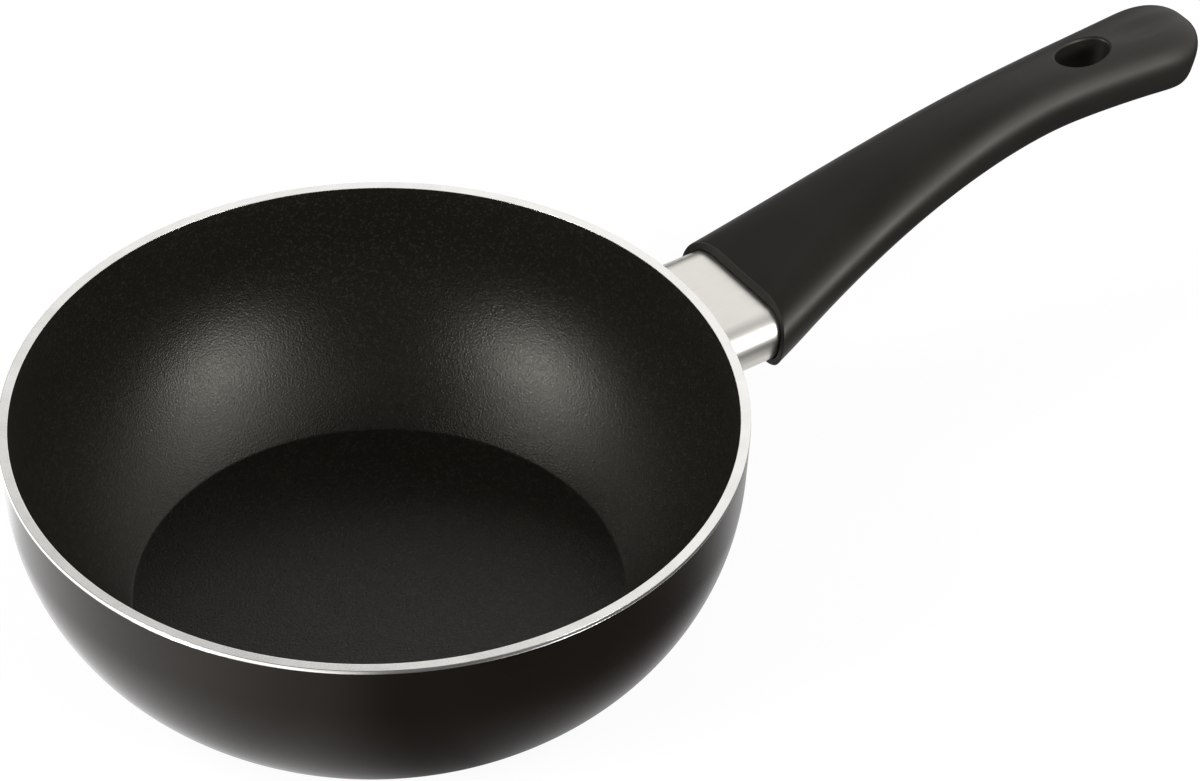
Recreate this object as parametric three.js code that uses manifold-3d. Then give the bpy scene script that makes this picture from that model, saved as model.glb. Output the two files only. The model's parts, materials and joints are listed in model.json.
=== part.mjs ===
// A flat-bottomed wok: a pressed aluminium bowl and a moulded phenolic handle, held by one screw.
// Millimetres, +Z up. The bowl stands on z = 0 round the Z axis and the handle points along +X.
import * as THREE from 'three';
import { mergeVertices } from 'three/addons/utils/BufferGeometryUtils.js';
import Module from 'manifold-3d';

// Bowl
const rimDiameter = 200; // across the outside of the rim
const panHeight = 68; // rest face to the top of the rim
const baseDiameter = 132; // where the curved wall would meet the rest face
const straightWall = 15; // slant length of the upper wall, above the curve
const wallFlare = 3.1; // lean of the upper wall from the vertical, in degrees
const wallGauge = 2.8;
const baseThickness = 4.2;
const baseEdgeRadius = 3; // rounding between the rest face and the wall outside
const floorEdgeRadius = 1.5; // rounding between the cooking floor and the wall inside
const rimBevel = 0.5; // broken edge on both sides of the turned rim

// Flame guard: a drawn sleeve between the wall and the handle
const handleDrop = 17.1; // rim down to the centre line of the guard and its screw
const guardReach = 20.9; // wall to the lip of the handle's hood, along the centre line
const guardWidth = 45;
const guardHeight = 16.4;
const guardGauge = 1.2;
const gripAbove = 6.5; // how far the guard's top reaches past the hood's foremost corners
const gripBelow = 1.6; // the same for its underside, which runs flush with the hood's

// Handle, measured from the hood's foremost corners
const handleLength = 156.2;
const handleRise = 29.7; // height of the levelled grip above the guard's centre line
const handleSlope = 0.418; // rise over run where the handle leaves the hood
const levelAt = 114.6; // where the rising grip has levelled out
const tailDroop = 1.4; // how far the tail's end sinks below the levelled grip
const hoodSideWall = 1.5; // hood's wall beside the guard
const hoodWall = 1.1; // hood's wall over the guard
const lipLean = 0.12; // the lip follows the bowl's round and leans back by this over its height
const waistAt = 103.3; // slimmest place of the grip
const waistWidth = 24.4;
const waistThickness = 17.2;
const tailWidth = 29.4;
const tailThickness = 18.6;
const noseLength = 15.3; // rounded end of the tail
const noseFullness = 3.1; // exponent of the nose's outline from above
const tipThickness = 8.4;
const tipLean = 0.49; // the end's upper edge stands out over its lower one
const hoodSquareness = 3.6; // exponent of the rounded outline of the hood and the guard
const tailSquareness = 2.5;
const eyeLength = 18; // hanging eye, along the handle
const eyeWidth = 13;
const eyeFromTip = 34;
const scoopLength = 34; // shallow hollow in the tail's top, behind the eye
const scoopWidth = 13;
const scoopDepth = 1.1;
const scoopDome = 3.3; // half height of the ellipsoid that leaves the hollow

// Weld stud on the wall
const studDiameter = 12;
const studLength = 16.5; // wall to the stud's end
const studFootDiameter = 14;
const studFootThickness = 2.5;
const studPocket = 4; // how far the stud enters the handle's tenon

// Screw and washers
const screwDiameter = 5;
const screwEngagement = 11; // length of the screw inside the stud
const screwHeadDiameter = 9;
const screwHeadHeight = 3.4;
const screwPoint = 0.75; // chamfer on the screw's end
const driveDepth = 1.8; // cross recess
const driveWidth = 1.2;
const driveSpan = 5;
const plainWasherDiameter = 10;
const plainWasherThickness = 1;
const springWasherDiameter = 9.2;
const springWasherThickness = 1.4;
const springWasherSplit = 1;
const washerPlay = 0.3; // round the screw
const seatDepth = 9.2; // screw seat behind the hood's foremost corners
const headPlay = 0.75; // round the washers and the head, in the screw's recess

const fitGap = 0.3; // between pieces that touch or fit into each other
const roundSteps = 72; // facets round the bowl
const wallSteps = 12; // facets up the bowl's curve
const edgeSteps = 4; // facets of a small rounding
const smallSteps = 32; // facets round the small turned pieces
const guardSteps = 48; // facets round the guard
const lipSteps = 144; // facets of the full round that the hood's lip follows
const gripSteps = 40; // facets round the handle
const gripRings = 28; // sections along the handle
const noseShare = 0.25; // share of those sections that shape the nose
const noseReach = 0.985; // the last section stops short of the point and leaves a narrow face
const mergeTolerance = 1e-4;

// The outside of the bowl: a leaning straight wall, tangent to an arc that runs down to the base
const flare = THREE.MathUtils.degToRad(wallFlare);
const rimRadius = rimDiameter / 2;
const wallDown = new THREE.Vector2(-Math.sin(flare), -Math.cos(flare));
const bend = new THREE.Vector2(rimRadius, panHeight).addScaledVector(wallDown, straightWall);
const inward = new THREE.Vector2(-Math.cos(flare), Math.sin(flare));
const toBase = new THREE.Vector2(baseDiameter / 2, 0).sub(bend);
const bowlRadius = toBase.lengthSq() / (2 * inward.dot(toBase));
const bowlCentre = bend.clone().addScaledVector(inward, bowlRadius);

// Places along the handle's line
const axisHeight = panHeight - handleDrop;
const wallReach = outsideRadiusAt(axisHeight);
const lipRadius = wallReach + guardReach;
const hoodWidth = guardWidth + 2 * (fitGap + hoodSideWall);
const hoodThickness = guardHeight + fitGap + hoodWall;
const hoodLift = (fitGap + hoodWall) / 2; // the hood's centre above the guard's, for a flush underside
const hoodLip = Math.sqrt(lipRadius ** 2 - (hoodWidth / 2) ** 2);
const guardEnd = hoodLip + (gripAbove + gripBelow) / 2;
const guardSlant = (gripAbove - gripBelow) / guardHeight;
const studEnd = wallReach + studLength;
const tenonFront = studEnd - studPocket;
const screwSeat = hoodLip + seatDepth;
const springWasherFace = screwSeat + plainWasherThickness + 2 * fitGap;
const screwHeadFace = springWasherFace + springWasherThickness + fitGap;
const noseStart = handleLength - noseLength;
const lipStock = lipLean * hoodThickness; // extra length at the hood, trimmed off along the lip

const wasm = await Module();
wasm.setup();

function outsideRadiusAt(height) {
  if (height > bend.y) return bend.x + (height - bend.y) * Math.tan(flare);
  const below = bowlCentre.y - height;
  return bowlCentre.x + Math.sqrt(bowlRadius ** 2 - below ** 2);
}

// A closed solid from a geometry: corners merged and flat triangles dropped
function solid(geometry) {
  geometry.deleteAttribute('normal');
  geometry.deleteAttribute('uv');
  const merged = mergeVertices(geometry, mergeTolerance);
  const corners = merged.index.array;
  const kept = [];
  for (let i = 0; i < corners.length; i += 3) {
    const [a, b, c] = corners.slice(i, i + 3);
    if (a !== b && b !== c && c !== a) kept.push(a, b, c);
  }
  const vertProperties = new Float32Array(merged.attributes.position.array);
  const triVerts = new Uint32Array(kept);
  return new wasm.Manifold(new wasm.Mesh({ numProp: 3, vertProperties, triVerts }));
}

function geometryOf(body) {
  const mesh = body.getMesh();
  const geometry = new THREE.BufferGeometry();
  geometry.setAttribute('position', new THREE.BufferAttribute(mesh.vertProperties, 3));
  geometry.setIndex(new THREE.BufferAttribute(mesh.triVerts, 1));
  geometry.computeVertexNormals();
  return geometry;
}

function arc(centre, radius, from, to, steps) {
  return Array.from({ length: steps + 1 }, (_, i) => {
    const angle = from + ((to - from) * i) / steps;
    return new THREE.Vector2(centre.x + radius * Math.cos(angle), centre.y + radius * Math.sin(angle));
  });
}

// Turned round the Z axis; the profile runs anticlockwise, with x as the radius and y as the height
function turned(profile, steps) {
  return new THREE.LatheGeometry(profile, steps).rotateX(Math.PI / 2);
}

// Turned round the guard's centre line: the profile's x is the radius, its y the place along +X
function turnedAlongHandle(profile) {
  const geometry = new THREE.LatheGeometry(profile, smallSteps).rotateZ(-Math.PI / 2);
  return geometry.translate(0, 0, axisHeight);
}

function ring(inner, outer, from, to) {
  const corners = [[inner, from], [outer, from], [outer, to], [inner, to], [inner, from]];
  return turnedAlongHandle(corners.map(([x, y]) => new THREE.Vector2(x, y)));
}

function rod(radius, from, to) {
  const corners = [[0, from], [radius, from], [radius, to], [0, to]];
  return turnedAlongHandle(corners.map(([x, y]) => new THREE.Vector2(x, y)));
}

function signedPower(value, power) {
  return Math.sign(value) * Math.abs(value) ** power;
}

// A point on a rounded outline; the exponent takes it from an ellipse towards a rectangle
function outlinePoint(angle, halfWidth, halfHeight, squareness) {
  const y = halfWidth * signedPower(Math.cos(angle), 2 / squareness);
  const z = halfHeight * signedPower(Math.sin(angle), 2 / squareness);
  return { y, z };
}

// A block of the guard's outline, grown or shrunk by an offset, along the guard's centre line.
// Its ends slant, so the top reaches further along the handle than the underside.
function guardBlock(offset, from, to) {
  const points = Array.from({ length: guardSteps }, (_, i) => {
    const angle = (2 * Math.PI * i) / guardSteps;
    const { y, z } = outlinePoint(angle, guardWidth / 2 + offset, guardHeight / 2 + offset, hoodSquareness);
    return new THREE.Vector2(-z, y);
  });
  const settings = { depth: to - from, bevelEnabled: false };
  const block = new THREE.ExtrudeGeometry(new THREE.Shape(points), settings).rotateY(Math.PI / 2);
  block.applyMatrix4(new THREE.Matrix4().makeShear(0, 0, 0, 0, guardSlant, 0));
  return block.translate(from, 0, axisHeight);
}

// Centre of a rounding that touches an arc of the bowl from inside and a level face
function roundingCentre(arcRadius, faceHeight, radius) {
  const y = faceHeight + radius;
  const x = bowlCentre.x + Math.sqrt((arcRadius - radius) ** 2 - (bowlCentre.y - y) ** 2);
  return new THREE.Vector2(x, y);
}

// One side of the bowl from its level face up to the rim, moved outwards by an offset
function wallProfile(offset, faceHeight, edgeRadius) {
  const radius = bowlRadius + offset;
  const corner = roundingCentre(radius, faceHeight, edgeRadius);
  const down = -Math.PI / 2;
  const joint = Math.atan2(corner.y - bowlCentre.y, corner.x - bowlCentre.x);
  const rounding = arc(corner, edgeRadius, down, joint, edgeSteps);
  const curve = arc(bowlCentre, radius, joint, -flare, wallSteps).slice(1);
  return [...rounding, ...curve];
}

function panBodyGeometry() {
  const outside = wallProfile(0, 0, baseEdgeRadius);
  const inside = wallProfile(-wallGauge, baseThickness, floorEdgeRadius).reverse();
  const innerRim = rimRadius - wallGauge / Math.cos(flare);
  const rim = [
    new THREE.Vector2(rimRadius - rimBevel * Math.tan(flare), panHeight - rimBevel),
    new THREE.Vector2(rimRadius - rimBevel, panHeight),
    new THREE.Vector2(innerRim + rimBevel, panHeight),
    new THREE.Vector2(innerRim - rimBevel * Math.tan(flare), panHeight - rimBevel),
  ];
  const middle = [new THREE.Vector2(0, baseThickness)];
  return turned([new THREE.Vector2(0, 0), ...outside, ...rim, ...inside, ...middle], roundSteps);
}

// The bowl's outside and the fitting gap round it, which trims what seats on the wall
function wallTrim() {
  const outside = wallProfile(fitGap, 0, baseEdgeRadius);
  const above = panHeight + fitGap;
  const top = new THREE.Vector2(outsideRadiusAt(panHeight) + fitGap / Math.cos(flare), above);
  return solid(turned([new THREE.Vector2(0, 0), ...outside, top, new THREE.Vector2(0, above)], roundSteps));
}

function weldStudGeometry() {
  const buried = bend.x - wallGauge; // starts behind the wall's face, before trimming
  const foot = wallReach + studFootThickness;
  const bore = screwDiameter / 2 + fitGap;
  const boreFloor = studEnd - screwEngagement - fitGap;
  const profile = [
    [0, buried], [studFootDiameter / 2, buried], [studFootDiameter / 2, foot], [studDiameter / 2, foot],
    [studDiameter / 2, studEnd], [bore, studEnd], [bore, boreFloor], [0, boreFloor],
  ].map(([x, y]) => new THREE.Vector2(x, y));
  return geometryOf(solid(turnedAlongHandle(profile)).subtract(wallTrim()));
}

function flameGuardGeometry() {
  const buried = bend.x - guardWidth / 2;
  const outside = solid(guardBlock(0, buried, guardEnd));
  const inside = solid(guardBlock(-guardGauge, buried - fitGap, guardEnd + fitGap));
  return geometryOf(outside.subtract(inside).subtract(wallTrim()));
}

// Falls from one at the hood's corners to nothing at the waist, and has no slope there
function towardsHood(along) {
  return along < waistAt ? (1 - along / waistAt) ** 2 : 0;
}

// Grows from nothing at the waist to one at the start of the nose
function towardsTail(along) {
  return along > waistAt ? ((Math.min(along, noseStart) - waistAt) / (noseStart - waistAt)) ** 2 : 0;
}

function blend(hood, waist, tail, along) {
  return waist + (hood - waist) * towardsHood(along) + (tail - waist) * towardsTail(along);
}

// The handle's centre line: a cubic that leaves the hood at its slope and levels out, then sinks a little
function riseAt(along) {
  const u = Math.min(along / levelAt, 1);
  const level = hoodLift + (handleRise - hoodLift) * u * u * (3 - 2 * u);
  const climb = level + handleSlope * levelAt * u * (1 - u) ** 2;
  return climb - tailDroop * (Math.max(along - levelAt, 0) / (handleLength - levelAt)) ** 2;
}

// How far a place along the handle is into the nose, from none to one at the tip
function intoNose(along) {
  return Math.max(along - noseStart, 0) / noseLength;
}

// Section of the handle at a place along it: half width, half thickness and outline exponent
function handleSection(along) {
  const past = intoNose(along);
  const round = (1 - past ** noseFullness) ** (1 / noseFullness);
  const thickness = blend(hoodThickness, waistThickness, tailThickness, along);
  return {
    halfWidth: (blend(hoodWidth, waistWidth, tailWidth, along) / 2) * round,
    halfThickness: (tipThickness + (thickness - tipThickness) * round) / 2,
    squareness: THREE.MathUtils.lerp(hoodSquareness, tailSquareness, Math.min(along / waistAt, 1)),
  };
}

// A unit cylinder whose rings take the handle's sections; the rings crowd together round the nose
function gripGeometry() {
  const geometry = new THREE.CylinderGeometry(1, 1, 1, gripSteps, gripRings).rotateZ(-Math.PI / 2);
  const points = geometry.attributes.position;
  for (let i = 0; i < points.count; i += 1) {
    const share = points.getX(i) + 0.5;
    const turn = (Math.max(share - 1 + noseShare, 0) / noseShare) * Math.asin(noseReach);
    const body = Math.min(share / (1 - noseShare), 1) * (noseStart + lipStock) - lipStock;
    const along = body + noseLength * Math.sin(turn);
    const { halfWidth, halfThickness, squareness } = handleSection(along);
    const reach = Math.hypot(points.getY(i), points.getZ(i));
    const angle = Math.atan2(points.getZ(i), points.getY(i));
    const { y, z } = outlinePoint(angle, reach * halfWidth, reach * halfThickness, squareness);
    const lean = tipLean * intoNose(along) ** 2 * z;
    points.setXYZ(i, hoodLip + along + lean, y, axisHeight + riseAt(along) + z);
  }
  return geometry;
}

// What the hood's lip is trimmed by: a round about the bowl's axis, leaning back towards the top
function lipTrim() {
  const height = 2 * hoodThickness;
  const round = new THREE.CylinderGeometry(lipRadius, lipRadius, height, lipSteps).rotateX(Math.PI / 2);
  round.applyMatrix4(new THREE.Matrix4().makeShear(0, 0, 0, 0, lipLean, 0));
  return solid(round.translate(0, 0, axisHeight));
}

function hangingEye() {
  const along = handleLength - eyeFromTip;
  const cutter = new THREE.CylinderGeometry(0.5, 0.5, 2 * tailThickness, smallSteps).rotateX(Math.PI / 2);
  cutter.scale(eyeLength, eyeWidth, 1);
  return solid(cutter.translate(hoodLip + along, 0, axisHeight + riseAt(along)));
}

function tailScoop() {
  const along = handleLength - eyeFromTip + scoopLength / 2;
  const crown = axisHeight + riseAt(along) + handleSection(Math.min(along, noseStart)).halfThickness;
  const hollow = new THREE.SphereGeometry(1, smallSteps, smallSteps / 2).rotateX(Math.PI / 2);
  hollow.scale(scoopLength / 2, scoopWidth / 2, scoopDome);
  return solid(hollow.translate(hoodLip + along, 0, crown + scoopDome - scoopDepth));
}

function handleGeometry() {
  const recess = Math.max(plainWasherDiameter, springWasherDiameter, screwHeadDiameter) / 2 + headPlay;
  const recessEnd = hoodLip + waistAt; // well past where the recess leaves the underside
  const socketFloor = guardEnd + fitGap;
  const socket = solid(guardBlock(fitGap, wallReach, socketFloor));
  const tenon = solid(guardBlock(-guardGauge - fitGap, tenonFront, socketFloor + fitGap));
  return geometryOf(
    solid(gripGeometry())
      .subtract(lipTrim())
      .subtract(socket)
      .add(tenon)
      .subtract(solid(rod(studDiameter / 2 + fitGap, wallReach, studEnd + fitGap)))
      .subtract(solid(rod(screwDiameter / 2 + fitGap, wallReach, screwSeat + fitGap)))
      .subtract(solid(rod(recess, screwSeat, recessEnd)))
      .subtract(hangingEye())
      .subtract(tailScoop()),
  );
}

function plainWasherGeometry() {
  const from = screwSeat + fitGap;
  return ring(screwDiameter / 2 + washerPlay, plainWasherDiameter / 2, from, from + plainWasherThickness);
}

function springWasherGeometry() {
  const inner = screwDiameter / 2 + washerPlay;
  const outer = springWasherDiameter / 2;
  const body = solid(ring(inner, outer, springWasherFace, springWasherFace + springWasherThickness));
  const split = new THREE.BoxGeometry(2 * springWasherThickness, springWasherSplit, outer);
  split.translate(springWasherFace, 0, axisHeight - outer / 2 - inner / 2);
  return geometryOf(body.subtract(solid(split)));
}

function handleScrewGeometry() {
  const shank = screwDiameter / 2;
  const head = screwHeadDiameter / 2;
  const tip = studEnd - screwEngagement;
  const back = screwHeadFace + screwHeadHeight;
  const crown = screwHeadHeight / 2; // rounded edge of the pan head
  const profile = [
    [0, tip], [shank - screwPoint, tip], [shank, tip + screwPoint],
    [shank, screwHeadFace], [head, screwHeadFace],
  ].map(([x, y]) => new THREE.Vector2(x, y));
  profile.push(...arc(new THREE.Vector2(head - crown, back - crown), crown, 0, Math.PI / 2, edgeSteps));
  profile.push(new THREE.Vector2(0, back));
  const body = solid(turnedAlongHandle(profile));
  const arms = [[driveSpan, driveWidth], [driveWidth, driveSpan]].map(([wide, tall]) => {
    const arm = new THREE.BoxGeometry(2 * driveDepth, wide, tall);
    return solid(arm.translate(back, 0, axisHeight));
  });
  return geometryOf(body.subtract(arms[0].add(arms[1])));
}

function piece(name, geometry, color, roughness, metalness) {
  const mesh = new THREE.Mesh(geometry, new THREE.MeshStandardMaterial({ color, roughness, metalness }));
  mesh.name = name;
  return mesh;
}

const pan = new THREE.Group();
pan.add(
  piece('pan_body', panBodyGeometry(), 0x211f1c, 0.45, 0.2),
  piece('weld_stud', weldStudGeometry(), 0xc9c9c6, 0.4, 1),
);

const handleSet = new THREE.Group();
handleSet.add(
  piece('flame_guard', flameGuardGeometry(), 0xe3e1dc, 0.3, 1),
  piece('handle', handleGeometry(), 0x2a2724, 0.55, 0),
  piece('plain_washer', plainWasherGeometry(), 0xb9bbbd, 0.35, 1),
  piece('spring_washer', springWasherGeometry(), 0xa9abad, 0.4, 1),
  piece('handle_screw', handleScrewGeometry(), 0xb9bbbd, 0.35, 1),
);

const wok = new THREE.Group();
wok.name = 'wok';
wok.add(pan, handleSet);

export default wok;
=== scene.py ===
import json
import math
import bmesh
import bpy
from mathutils import Matrix, Vector

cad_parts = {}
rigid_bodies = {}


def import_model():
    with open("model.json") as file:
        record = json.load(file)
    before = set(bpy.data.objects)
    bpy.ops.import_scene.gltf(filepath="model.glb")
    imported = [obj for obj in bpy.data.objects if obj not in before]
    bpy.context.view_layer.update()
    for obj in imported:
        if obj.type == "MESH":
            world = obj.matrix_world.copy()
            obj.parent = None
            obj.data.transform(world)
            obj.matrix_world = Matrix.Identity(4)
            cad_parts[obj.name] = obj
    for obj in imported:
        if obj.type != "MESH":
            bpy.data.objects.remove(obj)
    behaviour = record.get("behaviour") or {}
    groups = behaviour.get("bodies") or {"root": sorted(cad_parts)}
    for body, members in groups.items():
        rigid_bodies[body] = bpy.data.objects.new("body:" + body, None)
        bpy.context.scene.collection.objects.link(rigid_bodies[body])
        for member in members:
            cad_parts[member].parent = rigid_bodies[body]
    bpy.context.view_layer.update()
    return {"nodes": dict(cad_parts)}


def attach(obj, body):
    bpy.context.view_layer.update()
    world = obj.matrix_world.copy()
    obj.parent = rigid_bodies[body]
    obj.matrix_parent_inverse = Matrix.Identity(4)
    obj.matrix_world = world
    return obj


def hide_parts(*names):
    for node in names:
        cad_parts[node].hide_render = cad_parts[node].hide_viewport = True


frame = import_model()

mm = 0.001
scene = bpy.context.scene
mixFactor, mixFirst, mixSecond, mixResult = 0, 6, 7, 2  # a colour Mix node's sockets, whose names repeat
noiseLow, noiseHigh = 0.3, 0.7  # nearly all of a noise texture's values lie between these


def linear(hexColour):
    channels = [int(hexColour[i:i + 2], 16) / 255 for i in (1, 3, 5)]
    return [c / 12.92 if c <= 0.04045 else ((c + 0.055) / 1.055) ** 2.4 for c in channels] + [1]


def shaded(hexColour, share):  # the colour with this share of its light
    return [c * share for c in linear(hexColour)[:3]] + [1]


def addNode(tree, kind, inputs=None, **settings):
    node = tree.nodes.new(kind)
    for name, value in settings.items():
        setattr(node, name, value)
    for name, value in (inputs or {}).items():
        if isinstance(value, bpy.types.NodeSocket):
            tree.links.new(value, node.inputs[name])
        else:
            node.inputs[name].default_value = value
    return node


def newMaterial(name):
    material = bpy.data.materials.new(name)
    material.use_nodes = True
    material.node_tree.nodes.clear()
    return material


def giveSurface(material, look, height, inputs):  # one shader over the look's own bump
    tree = material.node_tree
    bump = addNode(tree, "ShaderNodeBump", {
        "Strength": look["bump"], "Distance": look["bumpDepth"] * mm, "Height": height})
    shader = addNode(tree, "ShaderNodeBsdfPrincipled", {**inputs, "Normal": bump.outputs["Normal"]})
    addNode(tree, "ShaderNodeOutputMaterial", {"Surface": shader.outputs[0]})
    return material


def perMm(size):  # texture scale for cells this many millimetres wide
    return 1 / (size * mm)


# Sprayed and baked PTFE on aluminium: satin black with a fine orange peel and pale mica flecks,
# which break its highlights into sparkle. The grain is drawn about twice its real size to show.
coat = {"colour": "#1b1a16", "fleck": "#2d2b25", "grain": 0.58, "fleckSize": 0.6, "fleckFrom": 0.75,
        "roughFrom": 0.26, "roughTo": 0.38, "specular": 0.42, "tint": "#fffbf0",
        "bump": 0.9, "bumpDepth": 0.14}


def ptfeCoat():
    material = newMaterial("ptfeCoat")
    tree = material.node_tree
    place = addNode(tree, "ShaderNodeTexCoord").outputs["Object"]
    grain = addNode(tree, "ShaderNodeTexNoise", {
        "Vector": place, "Scale": perMm(coat["grain"]), "Detail": 2, "Roughness": 0.6}).outputs["Fac"]
    cells = addNode(tree, "ShaderNodeTexVoronoi", {"Vector": place, "Scale": perMm(coat["fleckSize"])})
    pick = addNode(tree, "ShaderNodeSeparateColor", {"Color": cells.outputs["Color"]}).outputs["Red"]
    fleck = addNode(tree, "ShaderNodeMapRange", {
        "Value": pick, "From Min": coat["fleckFrom"], "From Max": 1}).outputs["Result"]
    colour = addNode(tree, "ShaderNodeMix", {
        mixFactor: fleck, mixFirst: linear(coat["colour"]), mixSecond: linear(coat["fleck"]),
    }, data_type="RGBA").outputs[mixResult]
    rough = addNode(tree, "ShaderNodeMapRange", {
        "Value": grain, "From Min": noiseLow, "From Max": noiseHigh,
        "To Min": coat["roughFrom"], "To Max": coat["roughTo"]}).outputs["Result"]
    return giveSurface(material, coat, grain, {
        "Base Color": colour, "Roughness": rough, "Specular IOR Level": coat["specular"],
        "Specular Tint": linear(coat["tint"])})


# Stoved black lacquer on the pressed outside: deeper and glossier than the coat, with a long, faint
# orange peel that softens what it mirrors.
lacquer = {"colour": "#140f0c", "warm": "#1c1612", "peel": 2.4, "cloud": 30, "roughFrom": 0.16,
           "roughTo": 0.22, "specular": 0.18, "tint": "#fff7e9", "bump": 0.12, "bumpDepth": 0.05}


def stovedLacquer():
    material = newMaterial("stovedLacquer")
    tree = material.node_tree
    place = addNode(tree, "ShaderNodeTexCoord").outputs["Object"]
    peel = addNode(tree, "ShaderNodeTexNoise", {
        "Vector": place, "Scale": perMm(lacquer["peel"]), "Detail": 1}).outputs["Fac"]
    cloud = addNode(tree, "ShaderNodeTexNoise", {
        "Vector": place, "Scale": perMm(lacquer["cloud"]), "Detail": 3}).outputs["Fac"]
    colour = addNode(tree, "ShaderNodeMix", {
        mixFactor: cloud, mixFirst: linear(lacquer["colour"]), mixSecond: linear(lacquer["warm"]),
    }, data_type="RGBA").outputs[mixResult]
    rough = addNode(tree, "ShaderNodeMapRange", {
        "Value": cloud, "From Min": noiseLow, "From Max": noiseHigh,
        "To Min": lacquer["roughFrom"], "To Max": lacquer["roughTo"]}).outputs["Result"]
    return giveSurface(material, lacquer, peel, {
        "Base Color": colour, "Roughness": rough, "Specular IOR Level": lacquer["specular"],
        "Specular Tint": linear(lacquer["tint"])})


# Aluminium turned bare on the lathe: bright, with fine rings left by the tool, which stretch its
# highlights. The rings are drawn coarser than the real 0.1 mm feed so that they show.
turned = {"rim": "#f2f0ec", "base": "#c9c8c4", "rimRough": 0.2, "baseRough": 0.34, "roughSpread": 0.06,
          "shade": 0.9, "pitch": 0.35, "wander": 0.6, "smear": 9, "bump": 0.12, "bumpDepth": 0.01}
ringsPerUnit = 20 / (2 * math.pi)  # the wave texture's rings at scale 1


def turnedAluminium(name, colour, roughness):
    material = newMaterial(name)
    tree = material.node_tree
    place = addNode(tree, "ShaderNodeTexCoord").outputs["Object"]
    rings = addNode(tree, "ShaderNodeTexWave", {
        "Vector": place, "Scale": perMm(turned["pitch"]) / ringsPerUnit,
        "Distortion": turned["wander"], "Detail": 2,
    }, wave_type="RINGS", rings_direction="Z").outputs["Fac"]
    smear = addNode(tree, "ShaderNodeTexNoise", {
        "Vector": place, "Scale": perMm(turned["smear"]), "Detail": 3}).outputs["Fac"]
    tint = addNode(tree, "ShaderNodeMix", {
        mixFactor: smear, mixFirst: linear(colour), mixSecond: shaded(colour, turned["shade"]),
    }, data_type="RGBA").outputs[mixResult]
    rough = addNode(tree, "ShaderNodeMapRange", {
        "Value": smear, "To Min": roughness - turned["roughSpread"],
        "To Max": roughness + turned["roughSpread"]}).outputs["Result"]
    return giveSurface(material, turned, rings, {"Base Color": tint, "Metallic": 1, "Roughness": rough})


# Aluminium strip drawn to a sleeve and satin finished along its length: pale, with soft streaks.
sleeve = {"colour": "#f2efe8", "dark": "#e9e6de", "streakLong": 14, "streakWide": 0.3, "roughFrom": 0.28,
          "roughTo": 0.36, "bump": 0.06, "bumpDepth": 0.02}


def satinAluminium():
    material = newMaterial("satinAluminium")
    tree = material.node_tree
    place = addNode(tree, "ShaderNodeTexCoord").outputs["Object"]
    across = perMm(sleeve["streakWide"])
    drawn = addNode(tree, "ShaderNodeMapping", {
        "Vector": place, "Scale": (perMm(sleeve["streakLong"]), across, across)}).outputs["Vector"]
    streaks = addNode(tree, "ShaderNodeTexNoise", {"Vector": drawn, "Scale": 1, "Detail": 3}).outputs["Fac"]
    colour = addNode(tree, "ShaderNodeMix", {
        mixFactor: streaks, mixFirst: linear(sleeve["dark"]), mixSecond: linear(sleeve["colour"]),
    }, data_type="RGBA").outputs[mixResult]
    rough = addNode(tree, "ShaderNodeMapRange", {
        "Value": streaks, "From Min": noiseLow, "From Max": noiseHigh,
        "To Min": sleeve["roughTo"], "To Max": sleeve["roughFrom"]}).outputs["Result"]
    return giveSurface(material, sleeve, streaks, {
        "Base Color": colour, "Metallic": 1, "Roughness": rough})


# Compression-moulded phenolic: a dense black plastic with a satin skin from the etched mould, a little
# greyer where it is handled. The etched grain is drawn about twice its real size.
phenolic = {"colour": "#181613", "bloom": "#1f1d19", "grain": 0.45, "cloud": 22, "roughFrom": 0.42,
            "roughTo": 0.5, "specular": 0.48, "tint": "#fffaf3", "bump": 0.3, "bumpDepth": 0.04}


def mouldedPhenolic():
    material = newMaterial("mouldedPhenolic")
    tree = material.node_tree
    place = addNode(tree, "ShaderNodeTexCoord").outputs["Object"]
    grain = addNode(tree, "ShaderNodeTexNoise", {
        "Vector": place, "Scale": perMm(phenolic["grain"]), "Detail": 2}).outputs["Fac"]
    cloud = addNode(tree, "ShaderNodeTexNoise", {
        "Vector": place, "Scale": perMm(phenolic["cloud"]), "Detail": 4}).outputs["Fac"]
    colour = addNode(tree, "ShaderNodeMix", {
        mixFactor: cloud, mixFirst: linear(phenolic["colour"]), mixSecond: linear(phenolic["bloom"]),
    }, data_type="RGBA").outputs[mixResult]
    rough = addNode(tree, "ShaderNodeMapRange", {
        "Value": cloud, "From Min": noiseLow, "From Max": noiseHigh,
        "To Min": phenolic["roughFrom"], "To Max": phenolic["roughTo"]}).outputs["Result"]
    return giveSurface(material, phenolic, grain, {
        "Base Color": colour, "Roughness": rough, "Specular IOR Level": phenolic["specular"],
        "Specular Tint": linear(phenolic["tint"])})


# Zinc-plated steel and plain welded aluminium of the hidden fixings: grey metal with a cloudy gloss.
fixings = {"zinc": "#bfc2c4", "weld": "#c9c9c6", "shade": 0.75, "cloud": 1.6, "roughFrom": 0.28,
           "roughTo": 0.48, "bump": 0.2, "bumpDepth": 0.02}


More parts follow.
